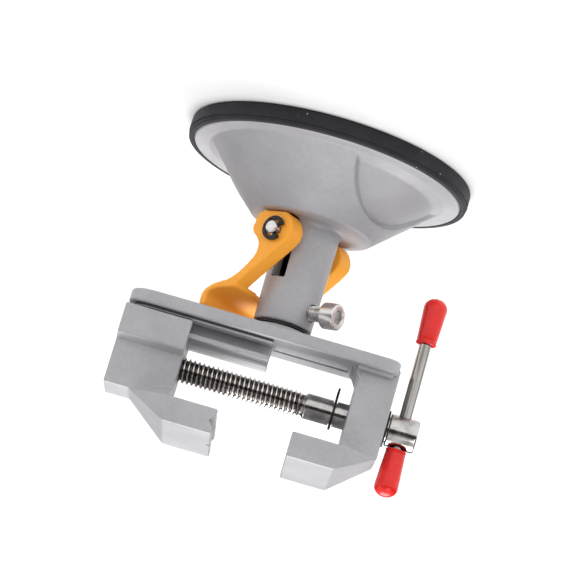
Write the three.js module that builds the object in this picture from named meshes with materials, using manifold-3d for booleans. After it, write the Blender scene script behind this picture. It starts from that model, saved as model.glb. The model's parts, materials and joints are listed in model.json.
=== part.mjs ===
// Mini bench vise on a suction base: a silver die-cast vise head that swivels on a hollow post,
// and an orange fork lever whose cams lift the middle of a rubber cup to hold the base down.
// Millimetres, +Z up. Origin: centre of the rubber cup's flat underside, on the post's axis.
// X runs along the lead screw, with the handle at -X and the moving jaw at +X.

import * as THREE from 'three';
import { mergeVertices } from 'three/addons/utils/BufferGeometryUtils.js';
import { ConvexGeometry } from 'three/addons/geometries/ConvexGeometry.js';
import Module from 'manifold-3d';

const wasm = await Module();
wasm.setup();

// ---- driving dimensions ----
const GAP = 0.3; // clearance between pieces that touch
const RUNNING = 0.4; // clearance between pieces that slide or turn on each other

const CUP_R = 46.5;
const CUP_RIM_TOP = 6.0;
const FLANGE_R = 44.3;
const FLANGE_TOP = 6.2;
const FLANGE_BOTTOM = 3.7;
const CONE_FOOT_R = 39;
const PLATEAU_R = 19.8;
const PLATEAU_Z = 24.4;
const WALL = 2.8;
const POST_TOP_Z = 57.8;
const POST_FOOT_R = 9.9;
const POST_TOP_R = 9.45;
const BORE_R = 6.2;
const SCALLOP_HALF = 26;
const SCALLOP_HEIGHT = 13.7;
const SCALLOP_DEPTH = 1.3;
const SCALLOP_TURN = -3; // degrees, from the lever's pad

const CAM_YAW = 38; // degrees: the cam pin's direction, turned from -Y towards +X
const PIN_Z = 31;
const PIN_R = 2.1;
const PIN_HALF = 19.6;
const EAR_IN = 10.9;
const EAR_OUT = 17.2;
const SLOT_WIDTH = 5.4;
const SLOT_TOP_Z = 44;
const CAM_LOW = 6.2; // pin centre to plateau with the lever up
const CAM_LIFT = 3.0; // how far the cam raises the pin
const CAM_TURN = 72; // degrees, lever up to lever down
const LEVER_BACK = 6.6; // the ears' reach behind the pin
const FLOOR_Z = 49.3; // underside of the lever's floor where it meets the arms
const FLOOR_THICK = 1.9;
const LIP_REACH = 21.8; // outer face of the lever's upturned lip
const LIP_TOP_Z = 58.1;
const LIP_THICK = 2.2;

const CLAMP_YAW = -57; // degrees, as CAM_YAW
const CLAMP_Z = 52.1;
const CLAMP_R = 2.5;
const CLAMP_TIP = 4.9; // from the post's axis
const CLAMP_HEAD = [14.4, 19.4];
const CLAMP_HEAD_R = 4.25;
const CLAMP_KEY = 4.4; // across the flats of the socket

const SPRING_R = 8.4;
const SPRING_WIRE_R = 0.65;
const SPRING_TURNS = 3.5;

const BED_BOTTOM = 60.8;
const BED_TOP = 65;
const BED_X = [-39.3, 48.4];
const BED_HALF = 14.6;
const TIER_TOP = 66.2;
const TIER_HALF = 12.5;
const RAIL_X = 1.1;
const RAIL_TOP = 71.5;
const RAIL_LIP = 1.6;
const RAIL_HALF = 10.2;
const RAIL_WEB_HALF = 5.3;
const ARM_X = [-39.8, -27.4];
const ARM_HALF = 9.9;
const SCREW_Z = 80;
const SCREW_R = 4.1;
const HEAD_TOP = 100.8;
const HEAD_BOTTOM = 92.8;
const HEAD_HALF = 22.6;
const FIXED_FACE_X = -12.4;
const MOVING_FACE_X = 11.3;
const BLOCK_X = [26.9, 48.5];
const SHOULDER_TOP = 92;
const UNDERCUT_Z = 87.8;
const SKIRT_HALF = 13.7;
const SKIRT_TOP = 76.3;

const KNOB_X = [-50.4, -40.9];
const KNOB_R = 5.25;
const BAR_X = -45.3;
const BAR_R = 1.95;
const CAP_LENGTH = 15.4;
const CAP_R = 3.85;
const CAP_NECK_R = 3.3;
const BAR_TRAVEL = 24;

const degrees = Math.PI / 180;

// ---- solids ----
function solid(geometry) {
  const bare = geometry.index ? geometry.toNonIndexed() : geometry;
  bare.deleteAttribute('normal');
  bare.deleteAttribute('uv');
  const merged = mergeVertices(bare, 1e-4);
  const position = merged.attributes.position;
  const corners = [new THREE.Vector3(), new THREE.Vector3(), new THREE.Vector3()];
  const triangles = [];
  let volume = 0;
  for (let i = 0; i < merged.index.count; i += 3) {
    const [a, b, c] = [0, 1, 2].map((k) => merged.index.getX(i + k));
    if (a === b || b === c || c === a) continue;
    [a, b, c].forEach((vertex, k) => corners[k].fromBufferAttribute(position, vertex));
    volume += corners[0].dot(corners[1].clone().cross(corners[2]));
    triangles.push([a, b, c]);
  }
  if (volume < 0) triangles.forEach((triangle) => triangle.reverse());
  return new wasm.Manifold(new wasm.Mesh({
    numProp: 3,
    vertProperties: new Float32Array(position.array),
    triVerts: new Uint32Array(triangles.flat()),
  }));
}

function box(x, y, z) {
  const geometry = new THREE.BoxGeometry(x[1] - x[0], y[1] - y[0], z[1] - z[0]);
  geometry.translate((x[0] + x[1]) / 2, (y[0] + y[1]) / 2, (z[0] + z[1]) / 2);
  return solid(geometry);
}

function hull(points) {
  return solid(new ConvexGeometry(points.map((point) => new THREE.Vector3(...point))));
}

// A turned piece: profile points are [radius, height along the axis].
function turned(profile, axis = 'z', segments = 64) {
  const points = profile.map(([radius, height]) => new THREE.Vector2(radius, height));
  const geometry = new THREE.LatheGeometry(points, segments);
  if (axis === 'z') geometry.rotateX(Math.PI / 2);
  if (axis === 'x') geometry.rotateZ(-Math.PI / 2);
  return solid(geometry);
}

function rod(radius, from, to, axis = 'z', segments = 32) {
  return turned([[0, from], [radius, from], [radius, to], [0, to]], axis, segments);
}

// A closed outline whose corners are [u, v, radius], each rounded where it has a radius.
function outline(corners) {
  const shape = new THREE.Shape();
  const at = (k) => new THREE.Vector2(...corners[(k + corners.length) % corners.length].slice(0, 2));
  corners.forEach(([, , radius = 0], k) => {
    const corner = at(k);
    const back = at(k - 1).sub(corner).setLength(radius).add(corner);
    const ahead = at(k + 1).sub(corner).setLength(radius).add(corner);
    if (k === 0) shape.moveTo(back.x, back.y);
    else shape.lineTo(back.x, back.y);
    if (radius > 0) shape.quadraticCurveTo(corner.x, corner.y, ahead.x, ahead.y);
  });
  shape.closePath();
  return shape;
}

const PLANES = {
  xy: [[1, 0, 0], [0, 1, 0], [0, 0, 1]], // drawn in plan, extruded up
  xz: [[1, 0, 0], [0, 0, 1], [0, -1, 0]], // drawn from the front, extruded towards -Y
  yz: [[0, 1, 0], [0, 0, 1], [1, 0, 0]], // drawn along the screw, extruded towards +X
};

function extruded(shape, plane, from, to, curveSegments = 5) {
  const start = plane === 'xz' ? -to : from;
  const geometry = new THREE.ExtrudeGeometry(shape, { depth: to - from, bevelEnabled: false, curveSegments });
  geometry.translate(0, 0, start);
  const axes = PLANES[plane].map((axis) => new THREE.Vector3(...axis));
  geometry.applyMatrix4(new THREE.Matrix4().makeBasis(...axes));
  return solid(geometry);
}

function joined(...solids) {
  return solids.reduce((sum, next) => sum.add(next));
}

function turnedAboutZ(body, angle) {
  return body.rotate([0, 0, angle]);
}

// ---- meshes ----
const FINISHES = {
  cast: { color: 0xb9b8be, roughness: 0.42, metalness: 0.6 },
  orange: { color: 0xf7a244, roughness: 0.45, metalness: 0 },
  rubber: { color: 0x2c2b2f, roughness: 0.7, metalness: 0 },
  bright: { color: 0xd8d6d4, roughness: 0.15, metalness: 1 },
  dark: { color: 0x1d1b1d, roughness: 0.4, metalness: 0.7 },
  red: { color: 0xe8413c, roughness: 0.35, metalness: 0 },
};

function part(name, body, finish) {
  const mesh = body.getMesh();
  const geometry = new THREE.BufferGeometry();
  geometry.setAttribute('position', new THREE.BufferAttribute(new Float32Array(mesh.vertProperties), 3));
  geometry.setIndex(new THREE.BufferAttribute(new Uint32Array(mesh.triVerts), 1));
  geometry.computeVertexNormals();
  const node = new THREE.Mesh(geometry, new THREE.MeshStandardMaterial(FINISHES[finish]));
  node.name = name;
  return node;
}

// ---- suction base (drawn with the cam pin along Y and the lever's pad at +X) ----
function baseHousing() {
  const fillet = 2;
  const foot = [];
  for (let k = 0; k <= 4; k += 1) {
    const angle = (k / 4) * 90 * degrees;
    foot.push([
      POST_FOOT_R + fillet * (1 - Math.sin(angle)),
      PLATEAU_Z + fillet * (1 - Math.cos(angle)),
    ]);
  }
  const cavityTop = PLATEAU_Z - WALL;
  const shell = turned([
    [FLANGE_R - 6.5, FLANGE_BOTTOM],
    [FLANGE_R, FLANGE_BOTTOM],
    [FLANGE_R, FLANGE_TOP - 0.5],
    [FLANGE_R - 0.6, FLANGE_TOP],
    [CONE_FOOT_R + 0.6, FLANGE_TOP],
    [CONE_FOOT_R - 0.7, FLANGE_TOP + 0.5],
    [PLATEAU_R + 0.7, PLATEAU_Z - 0.8],
    [PLATEAU_R - 0.8, PLATEAU_Z],
    ...foot,
    [POST_TOP_R, POST_TOP_Z - 0.4],
    [POST_TOP_R - 0.4, POST_TOP_Z],
    [BORE_R, POST_TOP_Z],
    [BORE_R, cavityTop],
    [PLATEAU_R - WALL, cavityTop],
    [CONE_FOOT_R - WALL - 1.2, FLANGE_TOP],
    [FLANGE_R - 6.5, FLANGE_BOTTOM],
  ], 'z', 72);
  const slot = box([-SLOT_WIDTH / 2, SLOT_WIDTH / 2], [-14, 14], [PLATEAU_Z - 0.2, SLOT_TOP_Z]);
  const clampHole = turnedAboutZ(
    rod(CLAMP_R + RUNNING, -14, -4, 'y', 20).translate([0, 0, CLAMP_Z]),
    CLAMP_YAW - CAM_YAW,
  );
  return shell.subtract(slot).subtract(clampHole).subtract(scallop(1)).subtract(scallop(-1));
}

// The shallow arch-shaped relief in the cone, under the lever's pad and opposite it.
function scallop(side) {
  const foot = FLANGE_TOP + 0.3;
  const arch = new THREE.Shape();
  arch.moveTo(SCALLOP_HALF, foot);
  arch.quadraticCurveTo(0, foot + 2 * SCALLOP_HEIGHT, -SCALLOP_HALF, foot);
  arch.closePath();
  const prism = extruded(arch, 'yz', 8, CONE_FOOT_R + 4, 20);
  const slope = (CONE_FOOT_R - PLATEAU_R) / (PLATEAU_Z - FLANGE_TOP);
  const inset = SCALLOP_DEPTH * Math.hypot(1, slope);
  const inner = turned([
    [0, FLANGE_TOP - 1],
    [CONE_FOOT_R - inset + slope, FLANGE_TOP - 1],
    [PLATEAU_R - inset - slope, PLATEAU_Z + 1],
    [0, PLATEAU_Z + 1],
  ], 'z', 72);
  return turnedAboutZ(prism.subtract(inner), SCALLOP_TURN + (side > 0 ? 0 : 180));
}

function suctionCup() {
  return turned([
    [0, 0],
    [CUP_R - 0.8, 0],
    [CUP_R, 0.9],
    [CUP_R, 2.7],
    [CUP_R - 0.6, 3.1],
    [CUP_R - 0.3, 3.6],
    [CUP_R - 0.4, CUP_RIM_TOP - 0.7],
    [CUP_R - 0.9, CUP_RIM_TOP],
    [FLANGE_R + GAP, CUP_RIM_TOP],
    [FLANGE_R + GAP, FLANGE_BOTTOM - GAP],
    [33, FLANGE_BOTTOM - GAP],
    [24, 5.0],
    [0, 5.2],
  ], 'z', 72);
}

const PLATE_Z = [5.5, 7.1];
const STEM_SHOULDER_Z = 12.2;
const STEM_TOP_Z = 38;

function cupPlate() {
  return turned([[4.4, PLATE_Z[0]], [14, PLATE_Z[0]], [14, PLATE_Z[1]], [4.4, PLATE_Z[1]], [4.4, PLATE_Z[0]]], 'z', 40);
}

function cupStem() {
  const body = turned([
    [0, PLATE_Z[0] + 0.1],
    [4.1, PLATE_Z[0] + 0.1],
    [4.1, PLATE_Z[1] + GAP],
    [11, PLATE_Z[1] + GAP],
    [11, STEM_SHOULDER_Z],
    [BORE_R - 0.5, STEM_SHOULDER_Z],
    [BORE_R - 0.5, STEM_TOP_Z - 0.8],
    [BORE_R - 1.3, STEM_TOP_Z],
    [0, STEM_TOP_Z],
  ], 'z', 40);
  return body.subtract(rod(PIN_R + GAP, -10, 10, 'y', 24).translate([0, 0, PIN_Z]));
}

class Helix extends THREE.Curve {
  constructor(radius, from, to, turns) {
    super();
    Object.assign(this, { radius, from, to, turns });
  }

  getPoint(t, target = new THREE.Vector3()) {
    const angle = t * this.turns * 2 * Math.PI;
    const height = this.from + t * (this.to - this.from);
    return target.set(this.radius * Math.cos(angle), this.radius * Math.sin(angle), height);
  }
}

function returnSpring() {
  const bottom = STEM_SHOULDER_Z + GAP + SPRING_WIRE_R;
  const top = PLATEAU_Z - WALL - GAP - SPRING_WIRE_R;
  const path = new Helix(SPRING_R, bottom, top, SPRING_TURNS);
  const section = new THREE.Shape();
  section.absarc(0, 0, SPRING_WIRE_R, 0, 2 * Math.PI, false);
  const steps = Math.round(SPRING_TURNS * 16);
  return solid(new THREE.ExtrudeGeometry(section, { steps, extrudePath: path, curveSegments: 4 }));
}

const CLIP_Y = [17.75, 18.45];

function camPin() {
  const groove = [CLIP_Y[0] - GAP, CLIP_Y[1] + GAP];
  const grooveR = PIN_R - 0.5;
  return turned([
    [0, -PIN_HALF],
    [PIN_R - 0.4, -PIN_HALF],
    [PIN_R, -PIN_HALF + 0.4],
    [PIN_R, -groove[1]],
    [grooveR, -groove[1]],
    [grooveR, -groove[0]],
    [PIN_R, -groove[0]],
    [PIN_R, groove[0]],
    [grooveR, groove[0]],
    [grooveR, groove[1]],
    [PIN_R, groove[1]],
    [PIN_R, PIN_HALF - 0.4],
    [PIN_R - 0.4, PIN_HALF],
    [0, PIN_HALF],
  ], 'y', 28).translate([0, 0, PIN_Z]);
}

// A retaining clip: an open ring with three inner prongs that reach into a shaft's groove.
function clipOutline(shaftR, ringR, outerR, opening, tailR = outerR) {
  const shape = new THREE.Shape();
  const half = opening / 2;
  const point = (radius, angle) => [radius * Math.cos(angle * degrees), radius * Math.sin(angle * degrees)];
  shape.moveTo(...point(tailR, half));
  shape.lineTo(...point(tailR, half + 9));
  shape.lineTo(...point(outerR, half + 16));
  shape.absarc(0, 0, outerR, (half + 16) * degrees, (344 - half) * degrees, false);
  shape.lineTo(...point(tailR, 351 - half));
  shape.lineTo(...point(tailR, 360 - half));
  shape.lineTo(...point(shaftR, 360 - half - 4));
  shape.lineTo(...point(shaftR, 360 - half - 28));
  shape.absarc(0, 0, ringR, (360 - half - 34) * degrees, 200 * degrees, true);
  shape.lineTo(...point(shaftR, 195));
  shape.lineTo(...point(shaftR, 165));
  shape.absarc(0, 0, ringR, 160 * degrees, (half + 34) * degrees, true);
  shape.lineTo(...point(shaftR, half + 28));
  shape.lineTo(...point(shaftR, half + 4));
  shape.closePath();
  return shape;
}

function camPinClip(side) {
  const clip = extruded(clipOutline(PIN_R - 0.2, 2.75, 4.05, 62), 'xz', -CLIP_Y[1], -CLIP_Y[0], 9);
  const turnedClip = clip.rotate([0, 190, 0]).translate([0, 0, PIN_Z]);
  return side < 0 ? turnedClip : turnedClip.translate([0, CLIP_Y[0] + CLIP_Y[1], 0]);
}

// One cam-ended arm of the lever, seen along the pin. The cam's reach grows evenly with the angle
// from straight down, from CAM_LOW to CAM_LOW + CAM_LIFT, so that it stays on the plateau.
function leverArm() {
  const shape = new THREE.Shape();
  const steps = 12;
  const growth = CAM_LIFT / (CAM_TURN * degrees);
  for (let k = 0; k <= steps; k += 1) {
    const angle = (k / steps) * CAM_TURN * degrees;
    const reach = CAM_LOW - RUNNING + growth * angle;
    const u = reach * Math.sin(angle) + growth * Math.cos(angle);
    const v = PIN_Z - reach * Math.cos(angle) + growth * Math.sin(angle);
    if (k === 0) shape.moveTo(u, v);
    else shape.lineTo(u, v);
  }
  shape.lineTo(8.3, PIN_Z + 2);
  shape.quadraticCurveTo(4.6, PIN_Z + 3.8, 4.8, PIN_Z + 6.6);
  shape.quadraticCurveTo(5.2, PIN_Z + 10.4, 8.2, PIN_Z + 13.4);
  shape.quadraticCurveTo(11.2, FLOOR_Z - 1, 14.4, FLOOR_Z);
  shape.lineTo(14.4, FLOOR_Z + 2.6);
  shape.lineTo(9.8, FLOOR_Z + FLOOR_THICK);
  shape.quadraticCurveTo(7.6, FLOOR_Z + 0.6, 6.0, FLOOR_Z - 2.9);
  shape.lineTo(1.0, PIN_Z + 10.1);
  shape.lineTo(-4.4, PIN_Z + 4.1);
  shape.quadraticCurveTo(-LEVER_BACK, PIN_Z + 1.4, 0.4 - LEVER_BACK, PIN_Z - 2.4);
  shape.quadraticCurveTo(-5.2, PIN_Z - CAM_LOW + RUNNING, -2.6, PIN_Z - CAM_LOW + RUNNING);
  return shape;
}

function camLever() {
  const floorAndLip = outline([
    [7.6, FLOOR_Z],
    [12.9, FLOOR_Z - 0.3, 1.2],
    [16.9, FLOOR_Z + 0.7, 1.5],
    [19.6, FLOOR_Z + 2.1, 1.5],
    [LIP_REACH - 0.2, FLOOR_Z + 4.2, 1.4],
    [LIP_REACH, LIP_TOP_Z, 0.6],
    [LIP_REACH - LIP_THICK, LIP_TOP_Z, 0.6],
    [LIP_REACH - LIP_THICK - 0.1, FLOOR_Z + 4.4, 1.2],
    [7.6, FLOOR_Z + FLOOR_THICK],
  ]);
  const webbing = extruded(floorAndLip, 'xz', -EAR_OUT, EAR_OUT);
  const postRoom = rod(POST_FOOT_R + 0.9, 40, 56, 'z', 40);
  const arms = joined(
    extruded(leverArm(), 'xz', EAR_IN, EAR_OUT, 6),
    extruded(leverArm(), 'xz', -EAR_OUT, -EAR_IN, 6),
  );
  const pinHole = rod(PIN_R + GAP, -20, 20, 'y', 24).translate([0, 0, PIN_Z]);
  return joined(webbing.subtract(postRoom), arms).subtract(pinHole);
}

// ---- clamp screw (drawn along -Y) ----
function clampScrew() {
  const [headFrom, headTo] = CLAMP_HEAD;
  const body = turned([
    [0, -headTo],
    [CLAMP_HEAD_R - 0.4, -headTo],
    [CLAMP_HEAD_R, -headTo + 0.4],
    [CLAMP_HEAD_R, -headFrom],
    [CLAMP_R, -headFrom],
    [CLAMP_R, -CLAMP_TIP - 0.6],
    [CLAMP_R - 0.6, -CLAMP_TIP],
    [0, -CLAMP_TIP],
  ], 'y', 32);
  const socket = rod(CLAMP_KEY / Math.sqrt(3), -headTo - 1, -headTo + 2.6, 'y', 6);
  return body.subtract(socket).translate([0, 0, CLAMP_Z]);
}

// ---- vise head ----
const SPINDLE_BOTTOM = 46.5;

function swivelSpindle() {
  const shaftR = BORE_R - RUNNING;
  return turned([
    [0, SPINDLE_BOTTOM],
    [shaftR - 0.6, SPINDLE_BOTTOM],
    [shaftR, SPINDLE_BOTTOM + 0.6],
    [shaftR, CLAMP_Z - 3],
    [4.5, CLAMP_Z - 2.7],
    [4.5, CLAMP_Z + 2.7],
    [shaftR, CLAMP_Z + 3],
    [shaftR, POST_TOP_Z + 1.15],
    [8.6, POST_TOP_Z + 1.15],
    [8.6, BED_BOTTOM - GAP],
    [0, BED_BOTTOM - GAP],
  ], 'z', 48);
}

function swivelWasher() {
  const low = POST_TOP_Z + GAP;
  const high = POST_TOP_Z + 0.85;
  return turned([[BORE_R, low], [9.1, low], [9.1, high], [BORE_R, high], [BORE_R, low]], 'z', 48);
}

// The flared end of a jaw: from a post as wide as the arm out to the full-width head.
// side is -1 for the fixed jaw and +1 for the moving one; face, neck and outer are X positions.
function jawHead(side, face, neck, outer) {
  const head = box([Math.min(face, neck), Math.max(face, neck)], [-HEAD_HALF, HEAD_HALF], [HEAD_BOTTOM, HEAD_TOP]);
  const flare = [];
  [-1, 1].forEach((hand) => {
    flare.push([outer, hand * ARM_HALF, SHOULDER_TOP]);
    flare.push([neck, hand * HEAD_HALF, HEAD_TOP]);
    flare.push([neck, hand * HEAD_HALF, HEAD_BOTTOM]);
    flare.push([neck, hand * ARM_HALF, UNDERCUT_Z]);
    flare.push([outer, hand * ARM_HALF, SHOULDER_TOP - 1]);
    flare.push([neck - side * 0.5, hand * HEAD_HALF, HEAD_TOP]);
    flare.push([neck - side * 0.5, hand * HEAD_HALF, HEAD_BOTTOM]);
  });
  return joined(head, hull(flare));
}

function viseBody() {
  const bed = extruded(outline([
    [BED_X[0], -BED_HALF, 5],
    [BED_X[1], -BED_HALF, 9],
    [BED_X[1], BED_HALF, 9],
    [BED_X[0], BED_HALF, 5],
  ]), 'xy', BED_BOTTOM, BED_TOP);
  const footTier = box([BED_X[0] + 1.5, ARM_X[1] + 1.2], [-TIER_HALF, TIER_HALF], [BED_TOP - 0.1, TIER_TOP]);
  const railTier = extruded(outline([
    [RAIL_X, -TIER_HALF],
    [BED_X[1] - 2, -TIER_HALF, 6],
    [BED_X[1] - 2, TIER_HALF, 6],
    [RAIL_X, TIER_HALF],
  ]), 'xy', BED_TOP - 0.1, TIER_TOP);
  const web = box([RAIL_X, BED_X[1] - 2], [-RAIL_WEB_HALF, RAIL_WEB_HALF], [BED_TOP, RAIL_TOP - 0.5]);
  const flange = extruded(outline([
    [RAIL_X, -RAIL_HALF, 0.8],
    [BED_X[1] - 2, -RAIL_HALF, 2.5],
    [BED_X[1] - 2, RAIL_HALF, 2.5],
    [RAIL_X, RAIL_HALF, 0.8],
  ]), 'xy', RAIL_TOP - RAIL_LIP, RAIL_TOP);
  const arm = box(ARM_X, [-ARM_HALF, ARM_HALF], [BED_TOP - 0.1, UNDERCUT_Z + 0.1]);
  const armTop = hull([-1, 1].flatMap((hand) => [
    [ARM_X[0], hand * ARM_HALF, UNDERCUT_Z],
    [ARM_X[1], hand * ARM_HALF, UNDERCUT_Z],
    [ARM_X[0], hand * ARM_HALF, SHOULDER_TOP],
    [ARM_X[1], hand * ARM_HALF, SHOULDER_TOP],
  ]));
  const footFillet = extruded(outline([
    [ARM_X[1] - 1, BED_TOP - 0.5],
    [ARM_X[1] + 3, BED_TOP - 0.5],
    [ARM_X[1] + 1.2, TIER_TOP + 0.4, 0.6],
    [ARM_X[1], TIER_TOP + 2.4],
    [ARM_X[1] - 1, TIER_TOP + 2.4],
  ]), 'xz', -ARM_HALF, ARM_HALF);
  const journal = rod(SCREW_R + RUNNING, ARM_X[0] - 1, ARM_X[1] + 1, 'x', 32).translate([0, 0, SCREW_Z]);
  const channel = box([ARM_X[1] + 3.4, RAIL_X - 0.6], [-RAIL_WEB_HALF, RAIL_WEB_HALF], [BED_TOP - 0.5, BED_TOP + 1]);
  return joined(bed, footTier, railTier, web, flange, arm, armTop, footFillet,
    jawHead(-1, FIXED_FACE_X, ARM_X[1], ARM_X[0])).subtract(journal).subtract(channel);
}

function movingJaw() {
  const bottom = TIER_TOP + RUNNING;
  const slotTop = RAIL_TOP + RUNNING;
  const lipTop = RAIL_TOP - RAIL_LIP - RUNNING;
  const slotHalf = RAIL_HALF + RUNNING;
  const neckHalf = RAIL_WEB_HALF + 0.5;
  const section = outline([
    [-ARM_HALF, SHOULDER_TOP],
    [-ARM_HALF, SKIRT_TOP + 1.5, 2.4],
    [-SKIRT_HALF + 0.4, SKIRT_TOP + 0.3, 0.5],
    [-SKIRT_HALF, SKIRT_TOP - 0.2],
    [-SKIRT_HALF, bottom],
    [-neckHalf, bottom],
    [-neckHalf, lipTop],
    [-slotHalf, lipTop],
    [-slotHalf, slotTop],
    [slotHalf, slotTop],
    [slotHalf, lipTop],
    [neckHalf, lipTop],
    [neckHalf, bottom],
    [SKIRT_HALF, bottom],
    [SKIRT_HALF, SKIRT_TOP - 0.2],
    [SKIRT_HALF - 0.4, SKIRT_TOP + 0.3, 0.5],
    [ARM_HALF, SKIRT_TOP + 1.5, 2.4],
    [ARM_HALF, SHOULDER_TOP],
  ]);
  const block = extruded(section, 'yz', BLOCK_X[0], BLOCK_X[1], 6);
  const shoulderX = BLOCK_X[1] - 8.2;
  const bore = rod(SCREW_R + RUNNING, BLOCK_X[0] - 1, BLOCK_X[1] + 1, 'x', 32).translate([0, 0, SCREW_Z]);
  const grooveZ = (HEAD_TOP + HEAD_BOTTOM) / 2;
  const acrossGroove = extruded(outline([
    [MOVING_FACE_X - 1, grooveZ - 2.2],
    [MOVING_FACE_X + 1.2, grooveZ],
    [MOVING_FACE_X - 1, grooveZ + 2.2],
  ]), 'xz', -HEAD_HALF - 1, HEAD_HALF + 1);
  const uprightGroove = extruded(outline([
    [MOVING_FACE_X - 1, -2.6],
    [MOVING_FACE_X + 1.6, 0],
    [MOVING_FACE_X - 1, 2.6],
  ]), 'xy', HEAD_BOTTOM - 1, HEAD_TOP + 1);
  return joined(block, jawHead(1, MOVING_FACE_X, BLOCK_X[0], shoulderX))
    .subtract(bore).subtract(acrossGroove).subtract(uprightGroove);
}

// ---- lead screw ----
const RING_X = [-23.3, -22.6];

function leadScrew() {
  const groove = [RING_X[0] - GAP, RING_X[1] + GAP];
  const body = turned([
    [0, KNOB_X[0]],
    [KNOB_R - 0.5, KNOB_X[0]],
    [KNOB_R, KNOB_X[0] + 0.5],
    [KNOB_R, KNOB_X[1] - 0.4],
    [KNOB_R - 0.4, KNOB_X[1]],
    [SCREW_R, KNOB_X[1]],
    [SCREW_R, groove[0]],
    [SCREW_R - 0.6, groove[0]],
    [SCREW_R - 0.6, groove[1]],
    [SCREW_R, groove[1]],
    [SCREW_R, -14],
    [SCREW_R - 0.7, -13.2],
    [SCREW_R - 0.7, -12.6],
    [SCREW_R, -11.8],
    [SCREW_R, 45.6],
    [SCREW_R - 0.8, 46.4],
    [0, 46.4],
  ], 'x', 40).translate([0, 0, SCREW_Z]);
  const crossHole = rod(BAR_R + RUNNING, SCREW_Z - 8, SCREW_Z + 8, 'z', 24).translate([BAR_X, 0, 0]);
  return body.subtract(crossHole);
}

function screwRing() {
  const ring = clipOutline(SCREW_R - 0.3, SCREW_R + 0.6, 5.3, 44, 8.4);
  return extruded(ring, 'yz', RING_X[0], RING_X[1], 10).rotate([-90, 0, 0]).translate([0, 0, SCREW_Z]);
}

function thrustWasher() {
  const inner = SCREW_R + GAP;
  const from = KNOB_X[1] + GAP;
  const to = ARM_X[0] - GAP;
  return turned([[inner, from], [5.9, from], [5.9, to], [inner, to], [inner, from]], 'x', 40).translate([0, 0, SCREW_Z]);
}

const UPPER_CAP_Z = SCREW_Z + KNOB_R + GAP;
const LOWER_CAP_Z = SCREW_Z - KNOB_R - GAP - BAR_TRAVEL;
const CAP_WALL = 1.2;

function tommyBar() {
  const inset = CAP_LENGTH - CAP_WALL - GAP;
  return rod(BAR_R, LOWER_CAP_Z - inset, UPPER_CAP_Z + inset, 'z', 24).translate([BAR_X, 0, 0]);
}

// A dipped cap, open at its neck; direction is +1 for the upper cap and -1 for the lower one.
function barCap(direction, neckZ) {
  const at = (distance) => neckZ + direction * distance;
  const profile = [[BAR_R + GAP, at(0)], [CAP_NECK_R, at(0)]];
  const domeFrom = CAP_LENGTH - CAP_R;
  for (let k = 0; k < 7; k += 1) {
    const angle = (k / 7) * 90 * degrees;
    profile.push([CAP_R * Math.cos(angle), at(domeFrom + CAP_R * Math.sin(angle))]);
  }
  profile.push([0, at(CAP_LENGTH)]);
  profile.push([0, at(CAP_LENGTH - CAP_WALL)]);
  profile.push([BAR_R + GAP, at(CAP_LENGTH - CAP_WALL)]);
  profile.push([BAR_R + GAP, at(0)]);
  return turned(profile, 'z', 32).translate([BAR_X, 0, 0]);
}

// ---- assembly ----
const base = new THREE.Group();
base.rotation.z = CAM_YAW * degrees;
base.add(
  part('base_housing', baseHousing(), 'cast'),
  part('suction_cup', suctionCup(), 'rubber'),
  part('cup_plate', cupPlate(), 'bright'),
  part('cup_stem', cupStem(), 'dark'),
  part('return_spring', returnSpring(), 'bright'),
  part('cam_pin', camPin(), 'bright'),
  part('cam_pin_clip_near', camPinClip(-1), 'dark'),
  part('cam_pin_clip_far', camPinClip(1), 'dark'),
  part('cam_lever', camLever(), 'orange'),
);

const clamp = new THREE.Group();
clamp.rotation.z = CLAMP_YAW * degrees;
clamp.add(part('clamp_screw', clampScrew(), 'bright'));

const head = new THREE.Group();
head.add(
  part('swivel_spindle', swivelSpindle(), 'cast'),
  part('swivel_washer', swivelWasher(), 'dark'),
  part('vise_body', viseBody(), 'cast'),
  part('moving_jaw', movingJaw(), 'cast'),
  part('lead_screw', leadScrew(), 'bright'),
  part('screw_retaining_ring', screwRing(), 'dark'),
  part('thrust_washer', thrustWasher(), 'dark'),
  part('tommy_bar', tommyBar(), 'bright'),
  part('bar_cap_upper', barCap(1, UPPER_CAP_Z), 'red'),
  part('bar_cap_lower', barCap(-1, LOWER_CAP_Z), 'red'),
);

const vise = new THREE.Group();
vise.add(base, clamp, head);

export default vise;
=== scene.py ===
import json
import math

import bmesh
import bpy
from mathutils import Matrix, Vector, noise


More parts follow.
